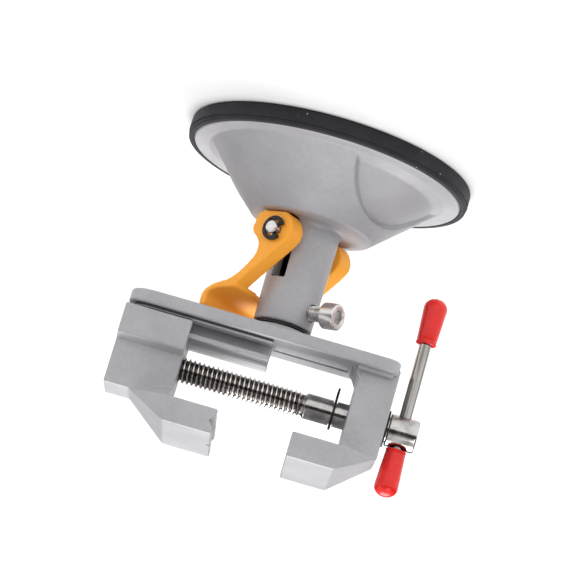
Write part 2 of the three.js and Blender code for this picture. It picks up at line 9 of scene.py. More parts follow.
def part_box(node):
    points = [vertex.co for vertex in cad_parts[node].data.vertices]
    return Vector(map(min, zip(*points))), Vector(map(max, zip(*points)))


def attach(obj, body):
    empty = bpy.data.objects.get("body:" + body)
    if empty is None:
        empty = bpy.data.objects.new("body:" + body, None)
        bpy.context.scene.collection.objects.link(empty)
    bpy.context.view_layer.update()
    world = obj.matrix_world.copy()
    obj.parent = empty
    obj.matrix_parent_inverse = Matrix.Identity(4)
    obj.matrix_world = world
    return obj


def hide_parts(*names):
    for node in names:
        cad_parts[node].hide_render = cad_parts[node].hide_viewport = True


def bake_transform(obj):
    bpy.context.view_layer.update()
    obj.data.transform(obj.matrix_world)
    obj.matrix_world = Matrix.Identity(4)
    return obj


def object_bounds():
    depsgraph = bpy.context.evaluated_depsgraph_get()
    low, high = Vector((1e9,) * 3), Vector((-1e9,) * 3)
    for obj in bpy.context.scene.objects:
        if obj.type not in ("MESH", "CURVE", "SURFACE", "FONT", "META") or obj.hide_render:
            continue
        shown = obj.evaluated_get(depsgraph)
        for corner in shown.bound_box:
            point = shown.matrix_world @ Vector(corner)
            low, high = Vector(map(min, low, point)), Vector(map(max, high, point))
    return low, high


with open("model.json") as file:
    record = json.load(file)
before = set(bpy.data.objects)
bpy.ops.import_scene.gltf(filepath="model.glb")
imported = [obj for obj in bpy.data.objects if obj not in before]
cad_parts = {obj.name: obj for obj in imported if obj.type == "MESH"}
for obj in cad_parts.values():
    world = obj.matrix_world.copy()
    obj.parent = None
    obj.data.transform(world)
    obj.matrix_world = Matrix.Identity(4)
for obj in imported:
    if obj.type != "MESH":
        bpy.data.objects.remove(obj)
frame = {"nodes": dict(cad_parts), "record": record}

MM = 0.001
cad_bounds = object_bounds()
joints = {joint["name"]: joint for joint in frame["record"]["behaviour"]["joints"]}


def mm_box(node):
    """The lowest and highest corner of a CAD node, in millimetres."""
    low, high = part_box(node)
    return low / MM, high / MM


def joint_place(name):
    """A joint's point in millimetres, and its axis."""
    return Vector(joints[name]["pos_m"]) / MM, Vector(joints[name]["axis"]).normalized()


# ---- outlines and solids, in millimetres ----
def rounded(corners, steps=5, closed=True):
    """Corners are (u, v) or (u, v, radius); one with a radius becomes a curve."""
    points = []
    for i, corner in enumerate(corners):
        at = Vector(corner[:2])
        ends = not closed and i in (0, len(corners) - 1)
        if len(corner) < 3 or ends:
            points.append(at)
            continue
        back = at + (Vector(corners[i - 1][:2]) - at).normalized() * corner[2]
        ahead = at + (Vector(corners[(i + 1) % len(corners)][:2]) - at).normalized() * corner[2]
        for k in range(steps + 1):
            t = k / steps
            points.append(back * (1 - t) ** 2 + at * 2 * t * (1 - t) + ahead * t * t)
    return [tuple(point) for point in points]


def evenly(start, end, count):
    """count points from start to end, both included."""
    steps = count - 1
    return [tuple(a + (b - a) * k / steps for a, b in zip(start, end)) for k in range(count)]


def turned(profile, segments=96, shape=None):
    """A lathe about Z. shape(radius, height, angle), if given, returns the radius to use."""
    bm = bmesh.new()
    rings = []
    for radius, height in profile:
        if radius < 1e-6:
            rings.append([bm.verts.new((0, 0, height))])
            continue
        ring = []
        for i in range(segments):
            angle = 2 * math.pi * i / segments
            reach = shape(radius, height, angle) if shape else radius
            ring.append(bm.verts.new((reach * math.cos(angle), reach * math.sin(angle), height)))
        rings.append(ring)
    for a, b in zip(rings, rings[1:]):
        for i in range(segments):
            j = (i + 1) % segments
            if len(a) == 1 and len(b) == 1:
                continue
            if len(a) == 1:
                bm.faces.new((a[0], b[j], b[i]))
            elif len(b) == 1:
                bm.faces.new((a[i], a[j], b[0]))
            else:
                bm.faces.new((a[i], a[j], b[j], b[i]))
    return bm


PLANES = {
    "xy": lambda u, v, w: (u, v, w),
    "xz": lambda u, v, w: (u, w, v),
    "yz": lambda u, v, w: (w, u, v),
}


def prism(points, low, high, plane):
    place = PLANES[plane]
    bm = bmesh.new()
    bottom = [bm.verts.new(place(u, v, low)) for u, v in points]
    top = [bm.verts.new(place(u, v, high)) for u, v in points]
    bm.faces.new(bottom)
    bm.faces.new(top)
    for i in range(len(points)):
        j = (i + 1) % len(points)
        bm.faces.new((bottom[i], bottom[j], top[j], top[i]))
    bmesh.ops.recalc_face_normals(bm, faces=bm.faces)
    return bm


def block(low, high):
    corners = [(low[0], low[1]), (high[0], low[1]), (high[0], high[1]), (low[0], high[1])]
    return prism(corners, low[2], high[2], "xy")


def faceted(points, faces):
    bm = bmesh.new()
    verts = [bm.verts.new(point) for point in points]
    for face in faces:
        bm.faces.new([verts[i] for i in face])
    bmesh.ops.recalc_face_normals(bm, faces=bm.faces)
    return bm


def eased(bm, width, segments=3, angle=25, keep=None):
    """Rounds every edge sharper than angle, except those that keep(edge) holds."""
    bm.edges.ensure_lookup_table()
    sharp = [
        edge for edge in bm.edges
        if len(edge.link_faces) == 2 and edge.calc_face_angle() > math.radians(angle)
        and not (keep and keep(edge))
    ]
    bmesh.ops.bevel(
        bm, geom=sharp, offset=width, offset_type="OFFSET", segments=segments, profile=0.5,
        affect="EDGES", clamp_overlap=True, miter_outer="ARC",
    )
    return bm


def thread(start, end, major, pitch, segments=48):
    """A right-hand thread about Z, running out to its root at both ends."""
    minor = major - 0.6 * pitch
    tooth = [(0.0, major), (0.14, major), (0.5, minor), (0.62, minor)]
    bm = bmesh.new()
    turns = int((end - start) / pitch) + 3
    columns = []
    for i in range(segments):
        angle = 2 * math.pi * i / segments
        column = []
        for turn in range(turns):
            for share, radius in tooth:
                height = start + (turn - 1 + share + i / segments) * pitch
                height = min(max(height, start), end)
                reach = min(radius, minor + height - start, minor + end - height)
                column.append(bm.verts.new((reach * math.cos(angle), reach * math.sin(angle), height)))
        columns.append(column)
    for i in range(segments):
        shift = 0 if i + 1 < segments else len(tooth)
        a, b = columns[i], columns[(i + 1) % segments]
        for k in range(len(a) - 1 - shift):
            bm.faces.new((a[k], b[k + shift], b[k + 1 + shift], a[k + 1]))
    bmesh.ops.remove_doubles(bm, verts=bm.verts, dist=1e-4)
    bmesh.ops.dissolve_degenerate(bm, dist=1e-4, edges=bm.edges)
    return bm


def placed(bm, matrix):
    """The solid, moved to where the matrix puts it."""
    bmesh.ops.transform(bm, matrix=matrix, verts=bm.verts)
    return bm


def piece(name, bm, *materials):
    """A Blender object from millimetre geometry."""
    bmesh.ops.recalc_face_normals(bm, faces=bm.faces)
    bmesh.ops.scale(bm, vec=(MM, MM, MM), verts=bm.verts)
    mesh = bpy.data.meshes.new(name)
    bm.to_mesh(mesh)
    bm.free()
    obj = bpy.data.objects.new(name, mesh)
    bpy.context.scene.collection.objects.link(obj)
    for material in materials:
        mesh.materials.append(material)
    return obj


def settle(obj):
    """Applies the object's modifiers."""
    bpy.context.view_layer.update()
    evaluated = obj.evaluated_get(bpy.context.evaluated_depsgraph_get())
    mesh = bpy.data.meshes.new_from_object(evaluated)
    obj.modifiers.clear()
    old = obj.data
    obj.data = mesh
    mesh.name = old.name
    bpy.data.meshes.remove(old)


def with_solid(obj, bm, operation="UNION"):
    """Adds a solid to the object, or cuts it away."""
    tool = piece(obj.name + "_tool", bm)
    modifier = obj.modifiers.new("solid", "BOOLEAN")
    modifier.operation = operation
    modifier.solver = "EXACT"
    modifier.object = tool
    settle(obj)
    bpy.data.objects.remove(tool)
    return obj


def join(obj, other):
    """Adds the other object's faces to obj."""
    bm = bmesh.new()
    bm.from_mesh(obj.data)
    bm.from_mesh(other.data)
    bm.to_mesh(obj.data)
    bm.free()
    bpy.data.objects.remove(other)


def smooth(obj, angle=35, weighted=True):
    obj.data.shade_smooth()
    obj.data.set_sharp_from_angle(angle=math.radians(angle))
    if weighted:
        modifier = obj.modifiers.new("normals", "WEIGHTED_NORMAL")
        modifier.keep_sharp = True
        modifier.weight = 60
        settle(obj)
    return obj


def along(origin, direction, up=Vector((0, 0, 1))):
    """The matrix that puts Z along direction and X level, square to direction and up."""
    z = direction.normalized()
    x = up.cross(z)
    if x.length < 1e-6:
        x = Vector((1, 0, 0))
    x.normalize()
    y = z.cross(x)
    matrix = Matrix((x, y, z)).transposed().to_4x4()
    matrix.translation = origin
    return matrix


def smoothstep(x):
    x = min(max(x, 0), 1)
    return x * x * (3 - 2 * x)


# ---- places that several pieces share ----
PIN_AT, PIN_AXIS = joint_place("cam_turn")
PIN_LINE = along(PIN_AT, PIN_AXIS)
PAD_ANGLE = math.atan2(-PIN_AXIS.x, PIN_AXIS.y)  # the lever's pad points this way
PAD_TURN = Matrix.Rotation(PAD_ANGLE, 4, "Z")
CLAMP_AT, CLAMP_AXIS = joint_place("clamp_turn")
CLAMP_LINE = along(CLAMP_AT, -CLAMP_AXIS)
SCREW_Z = joint_place("screw_spin")[0].z
SCREW_LINE = along(Vector((0, 0, SCREW_Z)), Vector((1, 0, 0)))
SCREW_R, SCREW_ROOT_R, SCREW_PITCH = 4.1, 3.2, 1.5
ARM_HALF = 9.9  # half the width of both jaws' arms
HEAD_TALL = 8.0  # the height of the jaws' clamping faces


# ---- materials ----
def new_material(name):
    material = bpy.data.materials.new(name)
    material.use_nodes = True
    nodes = material.node_tree.nodes
    return material, nodes, material.node_tree.links, nodes["Principled BSDF"]


def coordinates(nodes, links, stretch=(1, 1, 1)):
    source = nodes.new("ShaderNodeTexCoord")
    mapping = nodes.new("ShaderNodeMapping")
    mapping.inputs["Scale"].default_value = stretch
    links.new(source.outputs["Object"], mapping.inputs["Vector"])
    return mapping.outputs["Vector"]


def noise_field(nodes, links, vector, size, detail=3.0, roughness=0.55):
    """Noise whose features are about size millimetres across."""
    field = nodes.new("ShaderNodeTexNoise")
    field.inputs["Scale"].default_value = 1 / (size * MM)
    field.inputs["Detail"].default_value = detail
    field.inputs["Roughness"].default_value = roughness
    links.new(vector, field.inputs["Vector"])
    return field.outputs["Fac"]


def ramp(nodes, links, source, stops):
    """stops are (position, grey or colour)."""
    node = nodes.new("ShaderNodeValToRGB")
    elements = node.color_ramp.elements
    while len(elements) > len(stops):
        elements.remove(elements[-1])
    while len(elements) < len(stops):
        elements.new(1.0)
    for element, (position, value) in zip(elements, stops):
        element.position = position
        colour = (value, value, value) if isinstance(value, float) else value
        element.color = (*colour, 1)
    links.new(source, node.inputs["Fac"])
    return node.outputs["Color"]


def multiplied(nodes, links, a, b):
    node = nodes.new("ShaderNodeMix")
    node.data_type = "RGBA"
    node.blend_type = "MULTIPLY"
    node.inputs["Factor"].default_value = 1.0
    links.new(a, node.inputs["A"])
    links.new(b, node.inputs["B"])
    return node.outputs["Result"]


def bumped(nodes, links, shader, heights):
    """heights are (field, depth in millimetres), laid over each other."""
    normal = None
    for field, depth in heights:
        node = nodes.new("ShaderNodeBump")
        node.inputs["Strength"].default_value = 1.0
        node.inputs["Distance"].default_value = depth * MM
        links.new(field, node.inputs["Height"])
        if normal is not None:
            links.new(normal, node.inputs["Normal"])
        normal = node.outputs["Normal"]
    links.new(normal, shader.inputs["Normal"])


def cast_paint(name, tone=(0.46, 0.455, 0.475), metallic=0.14, specular=0.4):
    material, nodes, links, shader = new_material(name)
    vector = coordinates(nodes, links)
    patches = noise_field(nodes, links, vector, 14, 3)
    mottle = noise_field(nodes, links, vector, 1.6, 4, 0.65)
    peel = noise_field(nodes, links, vector, 0.75, 2, 0.5)
    dark, light = tuple(c * 0.93 for c in tone), tuple(c * 1.06 for c in tone)
    base = ramp(nodes, links, patches, [(0.3, dark), (0.7, light)])
    grain = ramp(nodes, links, mottle, [(0.25, 0.88), (0.7, 1.0)])
    links.new(multiplied(nodes, links, base, grain), shader.inputs["Base Color"])
    links.new(ramp(nodes, links, mottle, [(0.3, 0.40), (0.75, 0.52)]), shader.inputs["Roughness"])
    shader.inputs["Metallic"].default_value = metallic
    shader.inputs["Specular IOR Level"].default_value = specular
    bumped(nodes, links, shader, [(mottle, 0.075), (peel, 0.025)])
    return material


def machined_metal(name):
    material, nodes, links, shader = new_material(name)
    vector = coordinates(nodes, links, (0.02, 1, 1))
    lines = noise_field(nodes, links, vector, 0.35, 4, 0.7)
    broad = noise_field(nodes, links, vector, 2.2, 3, 0.6)
    tone = ramp(nodes, links, lines, [(0.3, (0.52, 0.52, 0.54)), (0.7, (0.72, 0.72, 0.74))])
    shade = ramp(nodes, links, broad, [(0.35, 0.70), (0.65, 1.0)])
    links.new(multiplied(nodes, links, tone, shade), shader.inputs["Base Color"])
    links.new(ramp(nodes, links, lines, [(0.3, 0.42), (0.7, 0.56)]), shader.inputs["Roughness"])
    shader.inputs["Metallic"].default_value = 0.35
    bumped(nodes, links, shader, [(lines, 0.02)])
    return material


def plated_steel(name, tone=(0.50, 0.488, 0.475), rough=(0.10, 0.22), stretch=(1, 1, 1),
                 smear_size=3.5, smear_tone=0.88):
    """Smears are smear_size millimetres across, with smear_tone of the unsmeared metal's tone."""
    material, nodes, links, shader = new_material(name)
    vector = coordinates(nodes, links, stretch)
    smear = noise_field(nodes, links, vector, smear_size, 4, 0.6)
    fine = noise_field(nodes, links, vector, 0.4, 3, 0.6)
    dark, light = tuple(c * smear_tone for c in tone), tuple(c * 1.05 for c in tone)
    base = ramp(nodes, links, smear, [(0.35, dark), (0.62, light)])
    links.new(base, shader.inputs["Base Color"])
    links.new(ramp(nodes, links, smear, [(0.3, rough[0]), (0.75, rough[1])]),
              shader.inputs["Roughness"])
    shader.inputs["Metallic"].default_value = 1.0
    bumped(nodes, links, shader, [(fine, 0.004)])
    return material


def rolled_thread(name, height, root, crest):
    """Plated steel, darker towards the roots of a thread that runs along X at a height: painted shade
    in the roots.
    """
    material = plated_steel(name, (0.82, 0.77, 0.74), (0.14, 0.26))
    nodes, links = material.node_tree.nodes, material.node_tree.links
    shader = nodes["Principled BSDF"]
    place = nodes.new("ShaderNodeMapping")
    place.inputs["Location"].default_value = (0, 0, -height * MM)
    place.inputs["Scale"].default_value = (0, 1, 1)
    links.new(nodes.new("ShaderNodeTexCoord").outputs["Object"], place.inputs["Vector"])
    length = nodes.new("ShaderNodeVectorMath")
    length.operation = "LENGTH"
    links.new(place.outputs["Vector"], length.inputs[0])
    depth = nodes.new("ShaderNodeMapRange")
    depth.inputs["From Min"].default_value = root * MM
    depth.inputs["From Max"].default_value = crest * MM
    links.new(length.outputs["Value"], depth.inputs["Value"])
    # the roots are painted darker than the crests: painted shade
    root_shade = ramp(nodes, links, depth.outputs["Result"], [(0.1, 0.16), (0.45, 0.62), (0.8, 1.0)])
    steel = shader.inputs["Base Color"].links[0].from_socket
    links.new(multiplied(nodes, links, steel, root_shade), shader.inputs["Base Color"])
    return material


def black_oxide(name):
    material, nodes, links, shader = new_material(name)
    vector = coordinates(nodes, links)
    wear = noise_field(nodes, links, vector, 1.2, 4, 0.6)
    links.new(ramp(nodes, links, wear, [(0.35, (0.012, 0.011, 0.012)), (0.72, (0.055, 0.05, 0.05))]),
              shader.inputs["Base Color"])
    links.new(ramp(nodes, links, wear, [(0.3, 0.3), (0.7, 0.5)]), shader.inputs["Roughness"])
    shader.inputs["Metallic"].default_value = 0.75
    bumped(nodes, links, shader, [(wear, 0.01)])
    return material


def orange_plastic(name):
    material, nodes, links, shader = new_material(name)
    vector = coordinates(nodes, links)
    patches = noise_field(nodes, links, vector, 9, 3)
    fine = noise_field(nodes, links, vector, 0.5, 3, 0.6)
    links.new(ramp(nodes, links, patches, [(0.3, (0.95, 0.40, 0.040)), (0.7, (0.98, 0.45, 0.058))]),
              shader.inputs["Base Color"])
    links.new(ramp(nodes, links, fine, [(0.3, 0.44), (0.7, 0.56)]), shader.inputs["Roughness"])
    shader.inputs["Specular IOR Level"].default_value = 0.35
    # a faint painted glow brightens the plastic, standing in for light that bleeds through it
    shader.inputs["Emission Color"].default_value = (1.0, 0.33, 0.03, 1)
    shader.inputs["Emission Strength"].default_value = 0.16
    shader.inputs["Subsurface Weight"].default_value = 0.25
    shader.inputs["Subsurface Radius"].default_value = (1.0, 0.45, 0.12)
    shader.inputs["Subsurface Scale"].default_value = 1.5 * MM
    bumped(nodes, links, shader, [(patches, 0.08), (fine, 0.008)])
    return material


def rubber(name):
    material, nodes, links, shader = new_material(name)
    vector = coordinates(nodes, links)
    patches = noise_field(nodes, links, vector, 11, 4)
    grain = noise_field(nodes, links, vector, 0.45, 3, 0.6)
    base = ramp(nodes, links, patches, [(0.3, (0.019, 0.018, 0.022)), (0.75, (0.036, 0.034, 0.040))])
    specks = nodes.new("ShaderNodeTexVoronoi")
    specks.inputs["Scale"].default_value = 1 / (2.6 * MM)
    specks.inputs["Randomness"].default_value = 1.0
    links.new(vector, specks.inputs["Vector"])
    dust = ramp(nodes, links, specks.outputs["Distance"], [(0.055, 1.0), (0.1, 0.0)])
    pick = nodes.new("ShaderNodeSeparateColor")
    links.new(specks.outputs["Color"], pick.inputs["Color"])
    chosen = ramp(nodes, links, pick.outputs["Red"], [(0.70, 0.0), (0.78, 1.0)])
    shown = multiplied(nodes, links, dust, chosen)
    mix = nodes.new("ShaderNodeMix")
    mix.data_type = "RGBA"
    mix.inputs["B"].default_value = (0.62, 0.61, 0.60, 1)
    links.new(shown, mix.inputs["Factor"])
    links.new(base, mix.inputs["A"])
    links.new(mix.outputs["Result"], shader.inputs["Base Color"])
    links.new(ramp(nodes, links, grain, [(0.3, 0.55), (0.7, 0.72)]), shader.inputs["Roughness"])
    shader.inputs["Specular IOR Level"].default_value = 0.3
    bumped(nodes, links, shader, [(patches, 0.1), (grain, 0.015)])
    return material


def vinyl(name):
    material, nodes, links, shader = new_material(name)
    vector = coordinates(nodes, links)
    flow = noise_field(nodes, links, vector, 4, 3)
    links.new(ramp(nodes, links, flow, [(0.3, (0.78, 0.016, 0.014)), (0.7, (0.87, 0.028, 0.022))]),
              shader.inputs["Base Color"])
    links.new(ramp(nodes, links, flow, [(0.3, 0.16), (0.7, 0.24)]), shader.inputs["Roughness"])
    shader.inputs["Specular IOR Level"].default_value = 0.35
    bumped(nodes, links, shader, [(flow, 0.05)])
    return material


def pale_floor(name):
    material, nodes, links, shader = new_material(name)
    vector = coordinates(nodes, links)
    cloud = noise_field(nodes, links, vector, 250, 2)
    links.new(ramp(nodes, links, cloud, [(0.3, 0.74), (0.7, 0.76)]), shader.inputs["Base Color"])
    shader.inputs["Roughness"].default_value = 0.9
    shader.inputs["Specular IOR Level"].default_value = 0.1
    return material


CAST = cast_paint("cast_paint")
# near-black paint inside the post's bore: painted shade in the recess
BORE_SHADE = cast_paint("painted_bore_shade", (0.012, 0.011, 0.011), 0.0, 0.08)
# dark paint on the step's sides under the moving jaw: painted shade for the gap
GAP_SHADE = cast_paint("painted_gap_shade", (0.06, 0.057, 0.057), 0.0, 0.3)
MACHINED = machined_metal("machined_rail")
BRIGHT = plated_steel("bright_plate", smear_tone=0.6)
ZINC = plated_steel("zinc_plate", (0.72, 0.71, 0.70), (0.26, 0.38), smear_tone=0.75)
TURNED_STEEL = plated_steel("turned_bar", (0.50, 0.48, 0.46), (0.14, 0.26), (1, 1, 0.03), 1.4, 0.25)
THREAD = rolled_thread("rolled_thread", SCREW_Z, SCREW_ROOT_R, SCREW_R)
DARK = black_oxide("black_oxide")
ORANGE = orange_plastic("orange_plastic")
RUBBER = rubber("cup_rubber")
VINYL = vinyl("dipped_vinyl")


# ---- suction base ----
def housing():
    low, high = mm_box("base_housing")
    flange_r, top = high.x, high.z
    flange_top, foot_r, plateau_r, plateau = low.z + 2.5, 39.0, 19.8, low.z + 20.7
    post_foot, post_top, bore = 9.9, 9.45, 6.2
    seat_r, wall = flange_r - 6.5, 2.8
    relief_turn = PAD_ANGLE - math.radians(3)
    arch_tall, arch_half, arch_deep = 13.7, 26, 1.9
    edge_wide, foot_tall = 1.3, 1.8

    def relief(radius, height, angle):
        """Sinks an arch into the cone on two opposite sides."""
        if not flange_top + 0.05 < height < plateau:
            return radius
        reach = radius * math.sin(angle - relief_turn)
        arch = flange_top + 0.3 + arch_tall * (1 - (reach / arch_half) ** 2)
        steepness = math.hypot(1, 2 * arch_tall * reach / arch_half ** 2)
        inside = smoothstep((arch - height) / steepness / edge_wide + 0.5)
        return radius - arch_deep * inside * smoothstep((height - flange_top) / foot_tall)

    taper_start = plateau + 6
    cone_foot, cone_head = (foot_r - 0.35, flange_top + 0.35), (plateau_r + 0.7, plateau - 0.75)
    profile = [
        (seat_r, low.z),
        *rounded([
            (flange_r - 3, low.z),
            (flange_r, low.z, 0.5),
            (flange_r, flange_top, 0.9),
            (foot_r + 2, flange_top),
        ], 5, closed=False),
        (foot_r + 0.35, flange_top),
        (foot_r - 0.05, flange_top + 0.12),
        *evenly(cone_foot, cone_head, 70),
        *rounded([
            cone_head,
            (plateau_r, plateau, 0.9),
            (plateau_r - 3, plateau),
        ], 5, closed=False)[1:],
        *rounded([
            (post_foot + 4, plateau),
            (post_foot, plateau, 2.2),
            (post_foot, taper_start),
        ], 7, closed=False),
        *evenly((post_foot, taper_start), (post_top, top - 1.4), 9)[1:],
        *rounded([
            (post_top, top - 1.2),
            (post_top, top, 0.8),
            (bore + 1, top),
        ], 5, closed=False),
        *rounded([
            (bore + 0.9, top),
            (bore, top, 0.5),
            (bore, top - 3),
        ], 3, closed=False),
        (bore, plateau - wall),
        (plateau_r - wall, plateau - wall),
        (foot_r - 4, flange_top),
        (seat_r, low.z),
    ]
    body = piece("housing", turned(profile, 400, relief), CAST, BORE_SHADE)
    slot_half, slot_reach, slot_top = 2.7, 14, 44
    slot = block((-slot_half, -slot_reach, plateau - 0.2), (slot_half, slot_reach, slot_top))
    slot = eased(slot, 0.6, keep=lambda edge: abs(edge.verts[0].co.y - edge.verts[1].co.y) < 1)
    with_solid(body, placed(slot, PAD_TURN), "DIFFERENCE")
    hole_r, hole_start, hole_end = 2.9, 4, 16
    hole = turned([(0, hole_start), (hole_r, hole_start), (hole_r, hole_end), (0, hole_end)], 40)
    with_solid(body, placed(hole, CLAMP_LINE), "DIFFERENCE")
    bore_shade_r = post_top - 0.15  # within this the post shows its bore, not its outside
    # faces inside the bore take the painted bore shade
    for polygon in body.data.polygons:
        centre = polygon.center / MM
        if math.hypot(centre.x, centre.y) < bore_shade_r and centre.z < top - 0.6:
            polygon.material_index = 1
    smooth(body, 40)
    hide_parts("base_housing")
    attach(body, "base")


def cup():
    low, high = mm_box("suction_cup")
    r, top = high.x, high.z
    rim_in, seat_r, seat_z = 35.6, 44.4, 3.4
    groove_z = low.z + 4.55
    rim = turned([
        (rim_in, low.z),
        *rounded([
            (42, low.z),
            (r - 0.1, low.z, 0.9),
            (r, groove_z - 0.25, 0.25),
            (r - 0.5, groove_z, 0.15),
            (r - 0.25, groove_z + 0.25, 0.2),
            (r - 0.4, top, 0.6),
            (r - 2.0, top),
        ], 5, closed=False),
        (seat_r, top - 0.15),
        (seat_r, seat_z),
        (rim_in, seat_z),
        (rim_in, low.z),
    ], 192)
    rim = smooth(piece("cup_rim", rim, RUBBER), 50)
    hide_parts("suction_cup")
    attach(rim, "base")

    skin_r, skin_top, dome, rings = rim_in + 0.2, 2.3, 2.9, 18
    under, over = [], []
    for k in range(rings + 1):
        radius = skin_r * (1 - k / rings)
        rise = smoothstep(1 - radius / skin_r)
        under.append((radius, low.z + 0.05 * rise))
        over.append((radius, skin_top + dome * rise))
    skin = piece("cup_diaphragm", turned([over[0], *under, *reversed(over)], 96), RUBBER)
    smooth(skin, 60, weighted=False)
    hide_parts("suction_cup")
    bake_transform(skin)


def spring():
    low, high = mm_box("return_spring")
    wire = 0.65
    coil = high.x - wire
    start, end = low.z + wire, high.z - wire
    turns, per_turn, around = 4, 40, 12
    bm = bmesh.new()
    rings = []
    for k in range(turns * per_turn + 1):
        turn = k / per_turn
        # the first and the last half turn lie nearly flat
        gentle = smoothstep((turn - 0.4) / (turns - 0.8))
        steady = min(max((turn - 0.5) / (turns - 1), 0), 1)
        rise = 0.35 * gentle + 0.65 * steady
        angle = turn * 2 * math.pi
        out = Vector((math.cos(angle), math.sin(angle), 0))
        centre = out * coil + Vector((0, 0, start + rise * (end - start)))
        rings.append([
            bm.verts.new(centre + out * wire * math.cos(a) + Vector((0, 0, wire * math.sin(a))))
            for a in (2 * math.pi * i / around for i in range(around))
        ])
    for a, b in zip(rings, rings[1:]):
        for i in range(around):
            j = (i + 1) % around
            bm.faces.new((a[i], a[j], b[j], b[i]))
    bm.faces.new(rings[0])
    bm.faces.new(rings[-1])
    obj = smooth(piece("spring", bm, BRIGHT), 50, weighted=False)
    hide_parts("return_spring")
    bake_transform(obj)


def pin():
    half, r = 19.6, 2.1
    groove_in, groove_out, groove_r = 17.45, 18.75, r - 0.5
    ends = []
    for side in (-1, 1):
        ends.append(rounded([
            (0, side * half),
            (r, side * half, 0.5),
            (r, side * groove_out),
        ], 4, closed=False) + [
            (groove_r, side * groove_out),
            (groove_r, side * groove_in),
            (r, side * groove_in),
        ])
    profile = [*ends[0], *reversed(ends[1])]
    obj = piece("cam_pin_turned", placed(turned(profile, 64), PIN_LINE), ZINC)
    smooth(obj, 40)
    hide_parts("cam_pin")
    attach(obj, "lift")


def lever():
    z0 = PIN_AT.z
    ear = rounded([
        (-3.2, z0 - 6.0, 1.6),
        (6.9, z0 - 6.0, 0.8),
        (8.4, z0 - 4.2, 0.6),
        (9.1, z0 + 0.1, 0.8),
        (8.3, z0 + 1.7, 0.6),
        (6.2, z0 + 3.2, 1.0),
        (4.6, z0 + 5.8, 1.2),
        (4.9, z0 + 8.9, 1.3),
        (7.3, z0 + 12.7, 1.4),
        (10.4, z0 + 16.1, 1.2),
        (13.2, z0 + 18.0, 1.0),
        (15.4, z0 + 18.6),
        (15.4, z0 + 20.9),
        (9.8, z0 + 19.8, 1.8),
        (6.0, z0 + 15.4, 2.0),
        (0.9, z0 + 10.0, 2.0),
        (-4.5, z0 + 4.2, 2.0),
        (-6.7, z0 + 1.2, 1.8),
        (-6.3, z0 - 2.6, 2.2),
    ], 4)
    pad = rounded([
        (9.0, z0 + 18.3),
        (12.9, z0 + 18.1, 1.2),
        (16.9, z0 + 19.1, 1.5),
        (19.6, z0 + 20.5, 1.5),
        (21.6, z0 + 22.6, 1.4),
        (21.8, z0 + 27.0, 0.8),
        (19.6, z0 + 27.0, 0.8),
        (19.3, z0 + 22.6, 1.4),
        (15.5, z0 + 20.9, 2),
        (9.0, z0 + 20.1),
    ], 4)
    inner, outer = 10.9, 17.2
    gap_low, gap_high = z0 + 9, z0 + 25
    bore_r, bore_reach = 2.35, 20
    obj = piece("lever", eased(prism(ear, -outer, -inner, "xz"), 1.1, 3, 60), ORANGE)
    with_solid(obj, eased(prism(pad, -outer, outer, "xz"), 1.0, 3, 60))
    with_solid(obj, eased(prism(ear, inner, outer, "xz"), 1.1, 3, 60))
    post_gap = turned([(0, gap_low), (inner, gap_low), (inner, gap_high), (0, gap_high)], 96)
    with_solid(obj, post_gap, "DIFFERENCE")
    obj.data.transform(PAD_TURN)
    bore = turned([(0, -bore_reach), (bore_r, -bore_reach), (bore_r, bore_reach), (0, bore_reach)], 48)
    with_solid(obj, placed(bore, PIN_LINE), "DIFFERENCE")
    remesh = obj.modifiers.new("remesh", "REMESH")
    remesh.mode = "VOXEL"
    remesh.voxel_size = 0.33 * MM
    soften = obj.modifiers.new("soften", "SMOOTH")
    soften.factor = 0.5
    soften.iterations = 5
    settle(obj)
    obj.data.shade_smooth()
    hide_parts("cam_lever")
    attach(obj, "lever")


def clamp_screw():
    tip, head_start, head_end, head_r = 4.9, 14.4, 19.4, 4.25
    profile = [
        (0, head_start),
        *rounded([
            (2, head_start),
            (head_r, head_start, 0.3),
            (head_r, head_end, 0.6),
            (head_r - 1.05, head_end),
        ], 4, closed=False),
        (2.9, head_end),
        (2.62, head_end - 0.25),
        (0, head_end - 0.25),
    ]
    obj = piece("clamp_bolt", placed(turned(profile, 96), CLAMP_LINE), ZINC)
    key_wide, key_deep = 4.4, 2.6
    key_r, key_end = key_wide / math.sqrt(3), head_end - key_deep
    socket = turned([(0, key_end), (key_r, key_end), (key_r, head_end + 1), (0, head_end + 1)], 6)
    with_solid(obj, placed(socket, CLAMP_LINE), "DIFFERENCE")
    shank = thread(tip, head_start + 0.1, 2.5, 0.8, 32)
    join(obj, piece("shank", placed(shank, CLAMP_LINE), ZINC))
    smooth(obj, 35, weighted=False)
    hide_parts("clamp_screw")
    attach(obj, "clamp")


